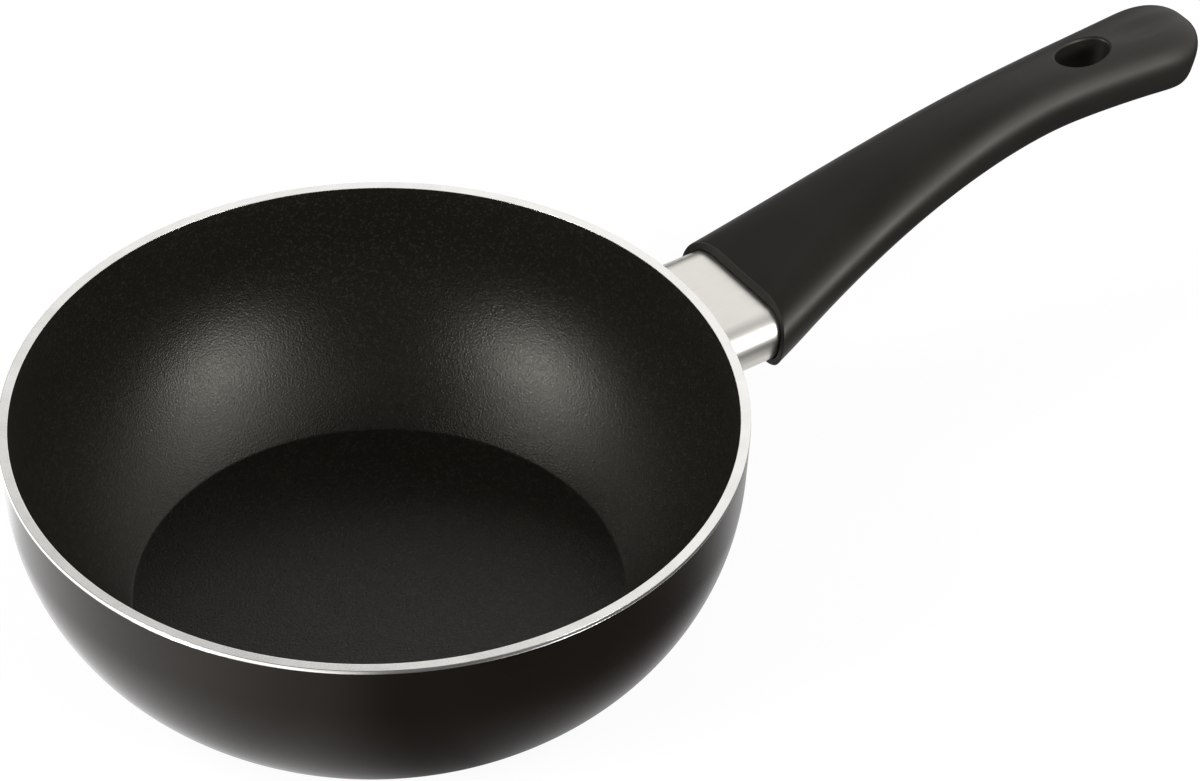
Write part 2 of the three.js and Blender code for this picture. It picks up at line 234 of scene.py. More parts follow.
def platedMetal(name, colour):
    material = newMaterial(name)
    tree = material.node_tree
    place = addNode(tree, "ShaderNodeTexCoord").outputs["Object"]
    cloud = addNode(tree, "ShaderNodeTexNoise", {
        "Vector": place, "Scale": perMm(fixings["cloud"]), "Detail": 3}).outputs["Fac"]
    tint = addNode(tree, "ShaderNodeMix", {
        mixFactor: cloud, mixFirst: linear(colour), mixSecond: shaded(colour, fixings["shade"]),
    }, data_type="RGBA").outputs[mixResult]
    rough = addNode(tree, "ShaderNodeMapRange", {
        "Value": cloud, "To Min": fixings["roughFrom"], "To Max": fixings["roughTo"]}).outputs["Result"]
    return giveSurface(material, fixings, cloud, {"Base Color": tint, "Metallic": 1, "Roughness": rough})


loftGap = 0.001  # mm; points of a loft that lie nearer than this become one


def bakeModifiers(piece):  # a plain mesh in place of the piece's live modifiers
    graph = bpy.context.evaluated_depsgraph_get()
    mesh = bpy.data.meshes.new_from_object(piece.evaluated_get(graph))
    piece.modifiers.clear()
    piece.data = mesh


def meshFromRings(name, rings, wrap=False, caps=()):  # a loft through rings of points in mm
    built = bmesh.new()
    rows = [[built.verts.new(Vector(point) * mm) for point in ring] for ring in rings]
    pairs = list(zip(rows, rows[1:])) + ([(rows[-1], rows[0])] if wrap else [])
    for low, high in pairs:
        for i in range(len(low)):
            j = (i + 1) % len(low)
            built.faces.new((low[i], low[j], high[j], high[i]))
    for end in caps:
        built.faces.new(rows[end])
    bmesh.ops.remove_doubles(built, verts=built.verts, dist=loftGap * mm)
    bmesh.ops.recalc_face_normals(built, faces=built.faces)
    mesh = bpy.data.meshes.new(name)
    built.to_mesh(mesh)
    built.free()
    piece = bpy.data.objects.new(name, mesh)
    scene.collection.objects.link(piece)
    return piece


def joinTool(piece, tool, operation):
    modifier = piece.modifiers.new("joinTool", "BOOLEAN")
    modifier.operation = operation
    modifier.solver = "EXACT"
    modifier.object = tool
    bakeModifiers(piece)
    bpy.data.objects.remove(tool)


def smoothBelow(piece, degrees):
    piece.data.shade_smooth()
    piece.data.set_sharp_from_angle(angle=math.radians(degrees))


def standFor(piece, node):
    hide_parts(node)
    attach(piece, "root")


def arcPoints(centre, radius, start, end, steps):
    return [(centre[0] + radius * math.cos(start + (end - start) * i / steps),
             centre[1] + radius * math.sin(start + (end - start) * i / steps)) for i in range(steps + 1)]


def roundedEdge(radius, angles):  # (distance past the face, distance short of the side) round an edge
    return [(radius * (1 - math.cos(angle)), radius * (1 - math.sin(angle))) for angle in angles]


# Bowl, in mm: a straight leaning wall on top of one arc, as in the solid model. The rim's land and the
# bare edge below it are turned bright; shares place the rows of points along the walls and the floor
bowl = {"rimRadius": 100, "height": 68, "baseRadius": 66, "straightWall": 15, "flareDeg": 3.1, "gauge": 2.8,
        "baseThickness": 4.2, "baseEdge": 3, "floorEdge": 1.5, "rimEdge": 0.08, "landInset": 0.12,
        "bareEdge": 1.1, "bareStep": 0.1, "bareBase": 62, "ringFrom": 8, "ringTo": 58, "ringPitch": 5,
        "ringWidth": 1.8, "ringDepth": 0.25, "stepsAround": 240, "stepsUp": 40, "stepsEdge": 8,
        "stepsRim": 4, "wallShares": (0.25, 0.5, 0.75), "floorShares": (0.98, 0.85, 0.65, 0.4, 0.2, 0),
        "mergeGap": 0.002, "sharpDeg": 40}
ringShape = ((-0.5, 0), (-0.3, 0.75), (0, 1), (0.3, 0.75), (0.5, 0))  # shares of a ring's width and depth
flare = math.radians(bowl["flareDeg"])
bendAt = Vector((bowl["rimRadius"] - bowl["straightWall"] * math.sin(flare),
                 bowl["height"] - bowl["straightWall"] * math.cos(flare)))
inward = Vector((-math.cos(flare), math.sin(flare)))
toBase = Vector((bowl["baseRadius"], 0)) - bendAt
curveRadius = toBase.length_squared / (2 * inward.dot(toBase))
curveCentre = bendAt + inward * curveRadius


def outsideRadius(height):
    if height > bendAt.y:
        return bendAt.x + (height - bendAt.y) * math.tan(flare)
    return curveCentre.x + math.sqrt(curveRadius ** 2 - (curveCentre.y - height) ** 2)


def wallCurve(radius, faceHeight, edge):  # from a level face, round its edge and up the arc
    y = faceHeight + edge
    x = curveCentre.x + math.sqrt((radius - edge) ** 2 - (curveCentre.y - y) ** 2)
    meet = math.atan2(y - curveCentre.y, x - curveCentre.x)
    rounding = arcPoints((x, y), edge, -math.pi / 2, meet, bowl["stepsEdge"])
    return rounding + arcPoints(curveCentre, radius, meet, -flare, bowl["stepsUp"])[1:]


def bowlProfile():  # (radius, height, finish of the stretch that starts there)
    rows = [(0, 0, "Base")]
    ring = bowl["ringFrom"]
    while ring <= bowl["ringTo"]:  # shallow turned rings under the base
        for share, deep in ringShape:
            rows.append((ring + share * bowl["ringWidth"], deep * bowl["ringDepth"], "Base"))
        ring += bowl["ringPitch"]
    rows.append((bowl["bareBase"], 0, "Lacquer"))
    rows += [(r, z, "Lacquer") for r, z in wallCurve(curveRadius, 0, bowl["baseEdge"])]
    lacquerTop = bowl["height"] - bowl["bareEdge"]
    for share in bowl["wallShares"]:
        z = bendAt.y + share * (lacquerTop - bendAt.y)
        rows.append((outsideRadius(z), z, "Lacquer"))
    rows.append((outsideRadius(lacquerTop), lacquerTop, "Rim"))
    edge, steps = bowl["rimEdge"], bowl["stepsRim"]
    outer = outsideRadius(bowl["height"]) - bowl["bareStep"]
    inner = bowl["rimRadius"] - bowl["gauge"] / math.cos(flare)
    rows.append((outer, lacquerTop + bowl["bareStep"] / 2, "Rim"))
    top = bowl["height"] - edge
    rows += [(r, z, "Rim") for r, z in arcPoints((outer - edge, top), edge, 0, math.pi / 2, steps)]
    level = edge + bowl["landInset"]  # keeps the land level between its edges
    rows += [(r, bowl["height"], "Rim") for r in (outer - level, inner + level)]
    rows += [(r, z, "Rim") for r, z in arcPoints((inner + edge, top), edge, math.pi / 2, math.pi, steps)]
    rows[-1] = (*rows[-1][:2], "Coat")
    inside = wallCurve(curveRadius - bowl["gauge"], bowl["baseThickness"], bowl["floorEdge"])[::-1]
    fromRim, toCurve = Vector(rows[-1][:2]), Vector(inside[0])
    rows += [(*fromRim.lerp(toCurve, share), "Coat") for share in bowl["wallShares"]]
    rows += [(r, z, "Coat") for r, z in inside]
    floorEdge = inside[-1][0]
    rows += [(floorEdge * share, bowl["baseThickness"], "Coat") for share in bowl["floorShares"]]
    return rows


def turnedBodyTree(finishes):  # turns the profile round the upright axis, each stretch in its finish
    tree = bpy.data.node_groups.new("turnedBody", "GeometryNodeTree")
    tree.interface.new_socket("Geometry", in_out="OUTPUT", socket_type="NodeSocketGeometry")
    wanted = {"Profile": "NodeSocketObject", "Steps Around": "NodeSocketInt",
              "Merge Gap": "NodeSocketFloat"}
    wanted.update({finish: "NodeSocketMaterial" for finish in finishes})
    sockets = {label: tree.interface.new_socket(label, in_out="INPUT", socket_type=kind).identifier
               for label, kind in wanted.items()}
    given = addNode(tree, "NodeGroupInput").outputs
    profile = addNode(tree, "GeometryNodeObjectInfo", {"Object": given["Profile"]}).outputs["Geometry"]
    rows = addNode(tree, "GeometryNodeAttributeDomainSize", {"Geometry": profile}).outputs["Point Count"]
    columns = addNode(tree, "ShaderNodeMath", {0: given["Steps Around"], 1: 1}, operation="ADD").outputs[0]
    sheet = addNode(tree, "GeometryNodeMeshGrid", {
        "Size X": 1, "Size Y": 1, "Vertices X": columns, "Vertices Y": rows}).outputs["Mesh"]
    position = addNode(tree, "GeometryNodeInputPosition").outputs["Position"]
    flat = addNode(tree, "ShaderNodeSeparateXYZ", {"Vector": position}).outputs
    angle = addNode(tree, "ShaderNodeMath", {
        0: flat["X"], 1: 2 * math.pi, 2: math.pi}, operation="MULTIPLY_ADD").outputs[0]
    stretches = addNode(tree, "ShaderNodeMath", {0: rows, 1: 1}, operation="SUBTRACT").outputs[0]
    half = addNode(tree, "ShaderNodeMath", {0: stretches, 1: 0.5}, operation="MULTIPLY").outputs[0]
    row = addNode(tree, "ShaderNodeMath", {
        0: flat["Y"], 1: stretches, 2: half}, operation="MULTIPLY_ADD").outputs[0]
    nearest = addNode(tree, "ShaderNodeMath", {0: row}, operation="ROUND").outputs[0]
    below = addNode(tree, "ShaderNodeMath", {0: row}, operation="FLOOR").outputs[0]
    finish = addNode(tree, "GeometryNodeInputNamedAttribute", {
        "Name": "finish"}, data_type="INT").outputs["Attribute"]
    finishAt = addNode(tree, "GeometryNodeSampleIndex", {
        "Geometry": profile, "Value": finish, "Index": below}, data_type="INT").outputs["Value"]
    marked = addNode(tree, "GeometryNodeStoreNamedAttribute", {
        "Geometry": sheet, "Name": "finish", "Value": finishAt,
    }, data_type="INT", domain="FACE").outputs["Geometry"]
    point = addNode(tree, "GeometryNodeSampleIndex", {
        "Geometry": profile, "Value": position, "Index": nearest,
    }, data_type="FLOAT_VECTOR").outputs["Value"]
    reach = addNode(tree, "ShaderNodeSeparateXYZ", {"Vector": point}).outputs
    cosine = addNode(tree, "ShaderNodeMath", {0: angle}, operation="COSINE").outputs[0]
    sine = addNode(tree, "ShaderNodeMath", {0: angle}, operation="SINE").outputs[0]
    x = addNode(tree, "ShaderNodeMath", {0: reach["X"], 1: cosine}, operation="MULTIPLY").outputs[0]
    y = addNode(tree, "ShaderNodeMath", {0: reach["X"], 1: sine}, operation="MULTIPLY").outputs[0]
    swept = addNode(tree, "ShaderNodeCombineXYZ", {"X": x, "Y": y, "Z": reach["Z"]}).outputs["Vector"]
    shape = addNode(tree, "GeometryNodeSetPosition", {
        "Geometry": marked, "Position": swept}).outputs["Geometry"]
    shape = addNode(tree, "GeometryNodeMergeByDistance", {
        "Geometry": shape, "Distance": given["Merge Gap"]}).outputs["Geometry"]
    shape = addNode(tree, "GeometryNodeSetShadeSmooth", {"Geometry": shape}).outputs["Geometry"]
    shape = addNode(tree, "GeometryNodeRealizeInstances", {"Geometry": shape}).outputs["Geometry"]
    for number, label in enumerate(finishes):
        here = addNode(tree, "FunctionNodeCompare", {  # sockets 2 and 3 take whole numbers
            2: finish, 3: number}, data_type="INT", operation="EQUAL").outputs["Result"]
        shape = addNode(tree, "GeometryNodeSetMaterial", {
            "Geometry": shape, "Selection": here, "Material": given[label]}).outputs["Geometry"]
    addNode(tree, "NodeGroupOutput", {"Geometry": shape})
    return tree, sockets


def makePanBody():
    rows = bowlProfile()
    finishes = {"Coat": ptfeCoat(), "Lacquer": stovedLacquer(),
                "Rim": turnedAluminium("turnedRim", turned["rim"], turned["rimRough"]),
                "Base": turnedAluminium("turnedBase", turned["base"], turned["baseRough"])}
    outline = bpy.data.meshes.new("bowlProfile")
    outline.from_pydata([(r * mm, 0, z * mm) for r, z, _ in rows],
                        [(i, i + 1) for i in range(len(rows) - 1)], [])
    outline.attributes.new("finish", "INT", "POINT").data.foreach_set(
        "value", [list(finishes).index(finish) for _, _, finish in rows])
    profile = bpy.data.objects.new("bowlProfile", outline)
    scene.collection.objects.link(profile)
    piece = bpy.data.objects.new("panBody", bpy.data.meshes.new("panBody"))
    scene.collection.objects.link(piece)
    tree, sockets = turnedBodyTree(list(finishes))
    modifier = piece.modifiers.new("turnedBody", "NODES")
    modifier.node_group = tree
    modifier[sockets["Profile"]] = profile
    modifier[sockets["Steps Around"]] = bowl["stepsAround"]
    modifier[sockets["Merge Gap"]] = bowl["mergeGap"] * mm
    for label, material in finishes.items():
        modifier[sockets[label]] = material
    bakeModifiers(piece)
    piece.data.attributes.remove(piece.data.attributes["finish"])
    piece.data.materials.pop(index=0)  # the sheet's own empty slot
    bpy.data.objects.remove(profile)
    smoothBelow(piece, bowl["sharpDeg"])
    standFor(piece, "pan_body")
    print("pan body:", len(rows), "profile points,", len(piece.data.polygons), "faces,",
          [m.name for m in piece.data.materials])


# The guard's and the handle's outlines share these turns, so that a loft runs straight between them
stepsAround = 144
crowding = 0.1  # draws an outline's points from its corners to its flatter sides
evenly = [2 * math.pi * i / stepsAround for i in range(stepsAround)]
turns = [turn - crowding * math.sin(4 * turn) for turn in evenly]

# Flame guard, in mm: a sleeve seated on the wall, its far end slanted under the hood. Its outline is flat
# for the given distance either side of the middle, then rounds off; the exponent squares the rounding
guard = {"middle": 51.1, "width": 43.6, "height": 15.4, "flatAbove": 13, "flatBelow": 7, "square": 2.6,
         "gauge": 1.2, "end": 121.5, "slant": 0.3, "seat": 0.3, "edge": 0.35,
         "edgeTurns": (0, 0.5, 1, math.pi / 2), "stepsLong": 14, "sharpDeg": 40}


def outlinePoint(turn, halfWidth, halfHeight, flatAbove, flatBelow, square):
    wide, tall = math.cos(turn), math.sin(turn)
    flat = flatAbove if tall >= 0 else flatBelow
    y = flat + (halfWidth - flat) * abs(wide) ** (2 / square)
    return math.copysign(y, wide), math.copysign(halfHeight * abs(tall) ** (2 / square), tall)


def guardOutline(grow):  # (y, z) round the sleeve, grown or shrunk
    return [outlinePoint(turn, guard["width"] / 2 + grow, guard["height"] / 2 + grow,
                         guard["flatAbove"], guard["flatBelow"], guard["square"]) for turn in turns]


def guardRing(grow, share, shift=0):  # share runs from the wall to the slanted end
    ring = []
    for y, z in guardOutline(grow):
        height = guard["middle"] + z
        seat = outsideRadius(height) + guard["seat"]
        front = math.sqrt(seat ** 2 - y ** 2)
        back = guard["end"] + guard["slant"] * z
        ring.append((front + (back - front) * share + shift, y, height))
    return ring


def makeFlameGuard():
    bevel = roundedEdge(guard["edge"], guard["edgeTurns"])
    rings = [guardRing(-inset, 0, along) for along, inset in bevel]
    rings += [guardRing(0, i / guard["stepsLong"]) for i in range(1, guard["stepsLong"])]
    rings += [guardRing(-inset, 1, -along) for along, inset in bevel[::-1]]
    rings += [guardRing(-guard["gauge"], share) for share in (1, 0.5, 0)]
    piece = meshFromRings("flameGuard", rings, wrap=True)
    piece.data.materials.append(satinAluminium())
    smoothBelow(piece, guard["sharpDeg"])
    standFor(piece, "flame_guard")
    print("flame guard:", len(piece.data.polygons), "faces")


# Handle, in mm from the hood's foremost corners: sections that swell to the hood and the tail
grip = {"start": 117.44, "axis": 50.9, "length": 156.2, "rise": 29.7, "slope": 0.418, "levelAt": 114.6,
        "hoodLift": 0.5, "droop": 1.4, "hoodWidth": 48.2, "hoodThickness": 18.2, "flare": 1.68,
        "flatAbove": 13.5, "flatBelow": 13, "flatFade": 60, "waistAt": 103.3, "waistWidth": 24.4,
        "waistThickness": 17.2, "square": 2.5, "tailWidth": 30.8, "tailThickness": 18.6, "tailSwell": 1.6,
        "tailSquare": 2.9, "noseLength": 15.3, "noseFullness": 3.1, "tipThickness": 8.4, "tipLean": 0.52,
        "stepAlong": 1.2, "stepsNose": 28, "fit": 0.25, "sharpDeg": 35}
# The hood's lip follows the bowl's round, leans back and has a rounded edge and eased lower corners
lip = {"radius": 119.4, "lean": 0.17, "edge": 0.3, "inside": 0.2, "fade": 24, "ease": 5, "easeLength": 10,
       "steps": 5, "rounds": 3}
eye = {"length": 17.6, "width": 11.2, "fromTip": 35.1, "edge": 0.9, "mouthDeg": 75, "mouthSteps": 5,
       "beyond": 4, "steps": 72}
scoop = {"length": 30, "width": 10, "depth": 0.7, "fromTip": 14}
screwHole = {"seat": 126.6, "recess": 5.75, "recessEnd": 220, "bore": 2.8, "stud": 6.3, "studEnd": 115.8,
             "tenonFront": 111.5, "front": 100, "overlap": 1, "steps": 64}


def gripCentre(along):
    u = min(along / grip["levelAt"], 1)
    level = grip["hoodLift"] + (grip["rise"] - grip["hoodLift"]) * u * u * (3 - 2 * u)
    climb = level + grip["slope"] * grip["levelAt"] * u * (1 - u) ** 2
    past = max(along - grip["levelAt"], 0) / (grip["length"] - grip["levelAt"])
    return grip["axis"] + climb - grip["droop"] * past ** 2


def intoNose(along):  # from none where the nose starts to one at the tip
    return min(max(along - grip["length"] + grip["noseLength"], 0) / grip["noseLength"], 1)


def gripSection(along):  # half width, half thickness, flats above and below and the exponent
    hood = max(1 - along / grip["waistAt"], 0) ** grip["flare"]
    tail = max((along - grip["waistAt"]) / (grip["length"] - grip["waistAt"]), 0) ** grip["tailSwell"]
    width = grip["waistWidth"] + (grip["hoodWidth"] - grip["waistWidth"]) * hood
    width += (grip["tailWidth"] - grip["waistWidth"]) * tail
    thick = grip["waistThickness"] + (grip["hoodThickness"] - grip["waistThickness"]) * hood
    thick += (grip["tailThickness"] - grip["waistThickness"]) * tail
    full = (1 - intoNose(along) ** grip["noseFullness"]) ** (1 / grip["noseFullness"])
    flat = max(1 - along / grip["flatFade"], 0) ** 2
    square = grip["square"] + (grip["tailSquare"] - grip["square"]) * tail
    halfThick = (grip["tipThickness"] + (thick - grip["tipThickness"]) * full) / 2
    eased = lip["ease"] * max(1 - max(along, 0) / lip["easeLength"], 0) ** 2
    return width / 2 * full, halfThick, grip["flatAbove"] * flat, grip["flatBelow"] * flat - eased, square


def scoopAt(along, across):  # depth of the shallow scoop behind the eye
    middle = grip["length"] - scoop["fromTip"]
    off = ((along - middle) / (scoop["length"] / 2)) ** 2 + (across / (scoop["width"] / 2)) ** 2
    return scoop["depth"] * max(1 - off, 0) ** 2


def gripHeight(along, across, side):  # height of the top (side 1) or the underside (side -1)
    halfWidth, halfThick, flatAbove, flatBelow, square = gripSection(along)
    flat = flatAbove if side > 0 else flatBelow
    out = min(max(abs(across) - flat, 0) / (halfWidth - flat), 1)
    share = (1 - out ** square) ** (1 / square)
    dip = scoopAt(along, across) if side > 0 else 0
    return gripCentre(along) + side * halfThick * share - dip


def gripPoint(along, turn, inset):
    halfWidth, halfThick, *outline = gripSection(along)
    y, z = outlinePoint(turn, halfWidth - inset, halfThick - inset, *outline)
    dip = scoopAt(along, y) if z > 0 else 0
    lean = grip["tipLean"] * intoNose(along) ** 2 * z
    return grip["start"] + along + lean, y, gripCentre(along) + z - dip


def lipPlace(y, z):
    return math.sqrt(lip["radius"] ** 2 - y ** 2) + lip["lean"] * (z - grip["axis"])


def gripRing(along, inset=0):  # near the hood a ring bends to the lip's round
    ring = []
    share = max(1 - along / lip["fade"], 0) ** 2
    for turn in turns:
        place = along
        for _ in range(lip["rounds"]):  # the section changes with the place, so it settles in rounds
            y, z = gripPoint(place, turn, inset)[1:]
            place = along + (lipPlace(y, z) - grip["start"]) * share
        ring.append(gripPoint(place, turn, inset))
    return ring


def socketRing(grow, share, into=0):  # inside the hood, from the lip to the slanted floor
    ring = []
    for y, z in guardOutline(grow):
        front = lipPlace(y, guard["middle"] + z) + into
        floor = guard["end"] + grip["fit"] + guard["slant"] * z
        ring.append((front + (floor - front) * share, y, guard["middle"] + z))
    return ring


def rodAlong(name, radius, start, end):
    outline = arcPoints((0, grip["axis"]), radius, 0, 2 * math.pi, screwHole["steps"])[:-1]
    return meshFromRings(name, [[(x, y, z) for y, z in outline] for x in (start, end)], caps=(0, -1))


def eyeRing(grow, side, lower):  # rides on the handle's own top or underside
    middle = grip["length"] - eye["fromTip"]
    ring = []
    for i in range(eye["steps"]):
        turn = 2 * math.pi * i / eye["steps"]
        mouthAlong = middle + (eye["length"] / 2 + eye["edge"]) * math.cos(turn)
        mouthAcross = (eye["width"] / 2 + eye["edge"]) * math.sin(turn)
        along = middle + (eye["length"] / 2 + grow) * math.cos(turn)
        across = (eye["width"] / 2 + grow) * math.sin(turn)
        height = gripHeight(mouthAlong, mouthAcross, side) - side * lower
        ring.append((grip["start"] + along, across, height))
    return ring


def eyeTool():  # the hole with its rounded mouths
    angles = [math.radians(eye["mouthDeg"] * i / eye["mouthSteps"]) for i in range(eye["mouthSteps"] + 1)]
    mouth = roundedEdge(eye["edge"], angles)
    mouth.append((mouth[-1][0], -eye["beyond"]))
    under = [eyeRing(grow, -1, lower) for grow, lower in mouth]
    over = [eyeRing(grow, 1, lower) for grow, lower in mouth]
    return meshFromRings("eyeTool", under[::-1] + over, caps=(0, -1))


def tenonTool():  # fills the guard's end and takes the stud
    outline = guardOutline(-guard["gauge"] - grip["fit"])
    back = guard["end"] + screwHole["overlap"]
    ends = [[(screwHole["tenonFront"], y, guard["middle"] + z) for y, z in outline],
            [(back + guard["slant"] * z, y, guard["middle"] + z) for y, z in outline]]
    return meshFromRings("tenonTool", ends, caps=(0, -1))


def makeHandle():
    edge, fit, hole = lip["edge"], grip["fit"], screwHole
    noseStart = grip["length"] - grip["noseLength"]
    rings = [socketRing(fit, 1), socketRing(fit, 0.5), socketRing(fit, 0, lip["inside"]),
             socketRing(fit + lip["inside"], 0)]
    quarter = [math.pi / 2 * i / lip["steps"] for i in range(lip["steps"] + 1)]
    rings += [gripRing(along, inset) for along, inset in roundedEdge(edge, quarter)]
    count = math.ceil((noseStart - edge) / grip["stepAlong"])
    rings += [gripRing(edge + (noseStart - edge) * i / count) for i in range(1, count + 1)]
    rings += [gripRing(noseStart + grip["noseLength"] * math.sin(math.pi / 2 * i / grip["stepsNose"]))
              for i in range(1, grip["stepsNose"] + 1)]
    piece = meshFromRings("handle", rings, caps=(0,))
    joinTool(piece, tenonTool(), "UNION")
    boreEnd = hole["seat"] + hole["overlap"]
    joinTool(piece, rodAlong("studTool", hole["stud"], hole["front"], hole["studEnd"]), "DIFFERENCE")
    joinTool(piece, rodAlong("boreTool", hole["bore"], hole["front"], boreEnd), "DIFFERENCE")
    joinTool(piece, rodAlong("recessTool", hole["recess"], hole["seat"], hole["recessEnd"]), "DIFFERENCE")
    joinTool(piece, eyeTool(), "DIFFERENCE")
    piece.data.materials.clear()
    piece.data.materials.append(mouldedPhenolic())
    smoothBelow(piece, grip["sharpDeg"])
    standFor(piece, "handle")
    print("handle:", len(piece.data.polygons), "faces")


def dressFixings():  # hidden pieces keep their solids
    zinc = platedMetal("zincPlatedSteel", fixings["zinc"])
    weld = platedMetal("weldedAluminium", fixings["weld"])
    finishes = {"weld_stud": weld, "plain_washer": zinc, "spring_washer": zinc, "handle_screw": zinc}
    for node, material in finishes.items():
        piece = frame["nodes"][node]
        piece.data.materials.clear()
        piece.data.materials.append(material)
    print("fixings dressed")


# Camera, fitted to the rim and floor in the photograph, whose size is the picture's, in pixels.
# The distance is in mm, the clip in metres
view = {"lens": 150, "sensor": 36, "pitchDeg": 40.15, "rollDeg": 0.67, "distance": 1329.1,
        "rimPixel": (374.8, 412.7), "handleDeg": 35, "picture": (1200, 781), "clip": (0.05, 50)}


def fromCamera(x, y, z):  # the camera's level frame (right, forward, up) turned into the part's
    turn = math.radians(view["handleDeg"])
    return Vector((math.cos(turn) * x + math.sin(turn) * y, -math.sin(turn) * x + math.cos(turn) * y, z))


def placeCamera():
    pitch, roll = math.radians(view["pitchDeg"]), math.radians(view["rollDeg"])
    forward = fromCamera(0, math.cos(pitch), -math.sin(pitch))
    level = fromCamera(1, 0, 0)
    upright = fromCamera(0, math.sin(pitch), math.cos(pitch))
    right = math.cos(roll) * level + math.sin(roll) * upright
    up = -math.sin(roll) * level + math.cos(roll) * upright
    wide, tall = view["picture"]
    focal = view["lens"] / view["sensor"] * wide
    u, v = view["rimPixel"]
    ray = forward + right * (u - wide / 2) / focal - up * (v - tall / 2) / focal
    spot = Vector((0, 0, bowl["height"])) - ray.normalized() * view["distance"]
    lens = bpy.data.cameras.new("camera")
    lens.lens, lens.sensor_width, lens.sensor_fit = view["lens"], view["sensor"], "HORIZONTAL"
    lens.clip_start, lens.clip_end = view["clip"]
    camera = bpy.data.objects.new("camera", lens)
    scene.collection.objects.link(camera)
    facing = Matrix((right, up, -forward)).transposed().to_4x4()
    camera.matrix_world = Matrix.Translation(spot * mm) @ facing
    scene.camera = camera
    print("camera at", [round(c, 1) for c in spot], "mm")


# Studio: a low and a high softbox on either side of the camera, a faint one behind the pan, a pale floor
# and room, and a dark ceiling and dark panels, behind the camera and behind the pan, that only mirrors
# show: painted shade in reflections. Mirrors show the floor with painted light and shade of its own: stops
# from left to right, painted light at the left and painted shade at the right, then soft patches of painted
# light. Directions are in the camera's level frame (right, forward, up), lengths in metres, glow as
# radiance
studio = {
    "aimAt": (0.06, 0, 0.04),  # in the part's own frame
    "lamps": [
        {"name": "lowRight", "aim": (0.76, -0.54, 0.37), "away": 1.4,
         "size": (0.26, 0.58), "leanDeg": -52, "glow": 19},
        {"name": "lowLeft", "aim": (-0.76, -0.54, 0.37), "away": 1.4,
         "size": (0.26, 0.58), "leanDeg": 52, "glow": 20},
        {"name": "highRight", "aim": (0.68, -0.2, 0.71), "away": 1.4,
         "size": (0.5, 0.5), "leanDeg": 0, "glow": 3.2},
        {"name": "highLeft", "aim": (-0.68, -0.2, 0.71), "away": 1.4,
         "size": (0.4, 0.4), "leanDeg": 0, "glow": 5.5},
        {"name": "behind", "aim": (0.05, 0.76, 0.65), "away": 1.6,
         "size": (0.7, 0.4), "leanDeg": 0, "glow": 0.1}],
    "room": 0.15, "roomShown": 1, "roundSteps": 96,
    "floorRadius": 2.5, "floorDrop": 0.0002, "floorColour": "#e6e5e2", "floorGlow": 0.9, "floorShade": 0.2,
    # the floor's painted light and shade in mirrors: paler at the left, darker at the right
    "mirroredLightAndShade": [(-0.09, 1.4), (-0.03, 0.85), (0.02, 0.17), (0.13, 0.08), (0.155, 0.24),
                 (0.168, 0.3), (0.19, 0.12), (0.26, 0.1)],
    # soft patches of painted light on the floor in mirrors
    "palerPaintedLight": [
        {"along": (0, 1), "from": 0.005, "to": 0.04, "glow": 0.5, "left": (-1, -0.9), "right": (-0.05, 0)},
        {"along": (-1, 1), "from": -0.18, "to": -0.09, "glow": 0.6,
         "left": (0.03, 0.07), "right": (0.155, 0.18)}],
    # the dark ceiling and panels: painted shade that mirrors alone show
    "darkGlow": 0.07, "ceilingHeight": 1.5, "ceilingRadius": 1.47, "ceilingLeft": 0.7,
    "panels": [
        {"from": (-1.15, -1.7), "to": (1.15, -1.7), "low": 0, "high": 1.8},
        {"from": (-1.3, 1.5), "to": (-0.46, 1.5), "low": 0.08, "high": 1.4},
        {"from": (-0.46, 1.5), "to": (0.3, 1.5), "low": 0.08, "high": 0.64}]}
white = (1, 1, 1, 1)


def shownRay(tree):  # 1 for rays that show the surroundings: camera, mirror and see-through ones
    path = addNode(tree, "ShaderNodeLightPath").outputs
    seen = path["Is Camera Ray"]
    for kind in ("Is Glossy Ray", "Is Transmission Ray"):
        seen = addNode(tree, "ShaderNodeMath", {0: seen, 1: path[kind]}, operation="MAXIMUM").outputs[0]
    return seen


def addStage(name, corners, dark=False):  # one flat face; a dark one shows in mirrors alone, as painted shade in reflections
    mesh = bpy.data.meshes.new(name)
    mesh.from_pydata(corners, [], [range(len(corners))])
    thing = bpy.data.objects.new(name, mesh)
    scene.collection.objects.link(thing)
    if dark:
        thing.visible_camera = thing.visible_diffuse = thing.visible_shadow = False
        material = newMaterial(name)
        glow = addNode(material.node_tree, "ShaderNodeEmission", {"Strength": studio["darkGlow"]})
        addNode(material.node_tree, "ShaderNodeOutputMaterial", {"Surface": glow.outputs[0]})
        mesh.materials.append(material)
    return thing


def stageCircle(radius, height, left=0):
    outline = arcPoints((-left, 0), radius, 0, 2 * math.pi, studio["roundSteps"])[:-1]
    return [fromCamera(x, y, height) for x, y in outline]


def panelCorners(panel):
    ends = ((panel["from"], "low"), (panel["to"], "low"), (panel["to"], "high"), (panel["from"], "high"))
    return [fromCamera(*end, panel[height]) for end, height in ends]


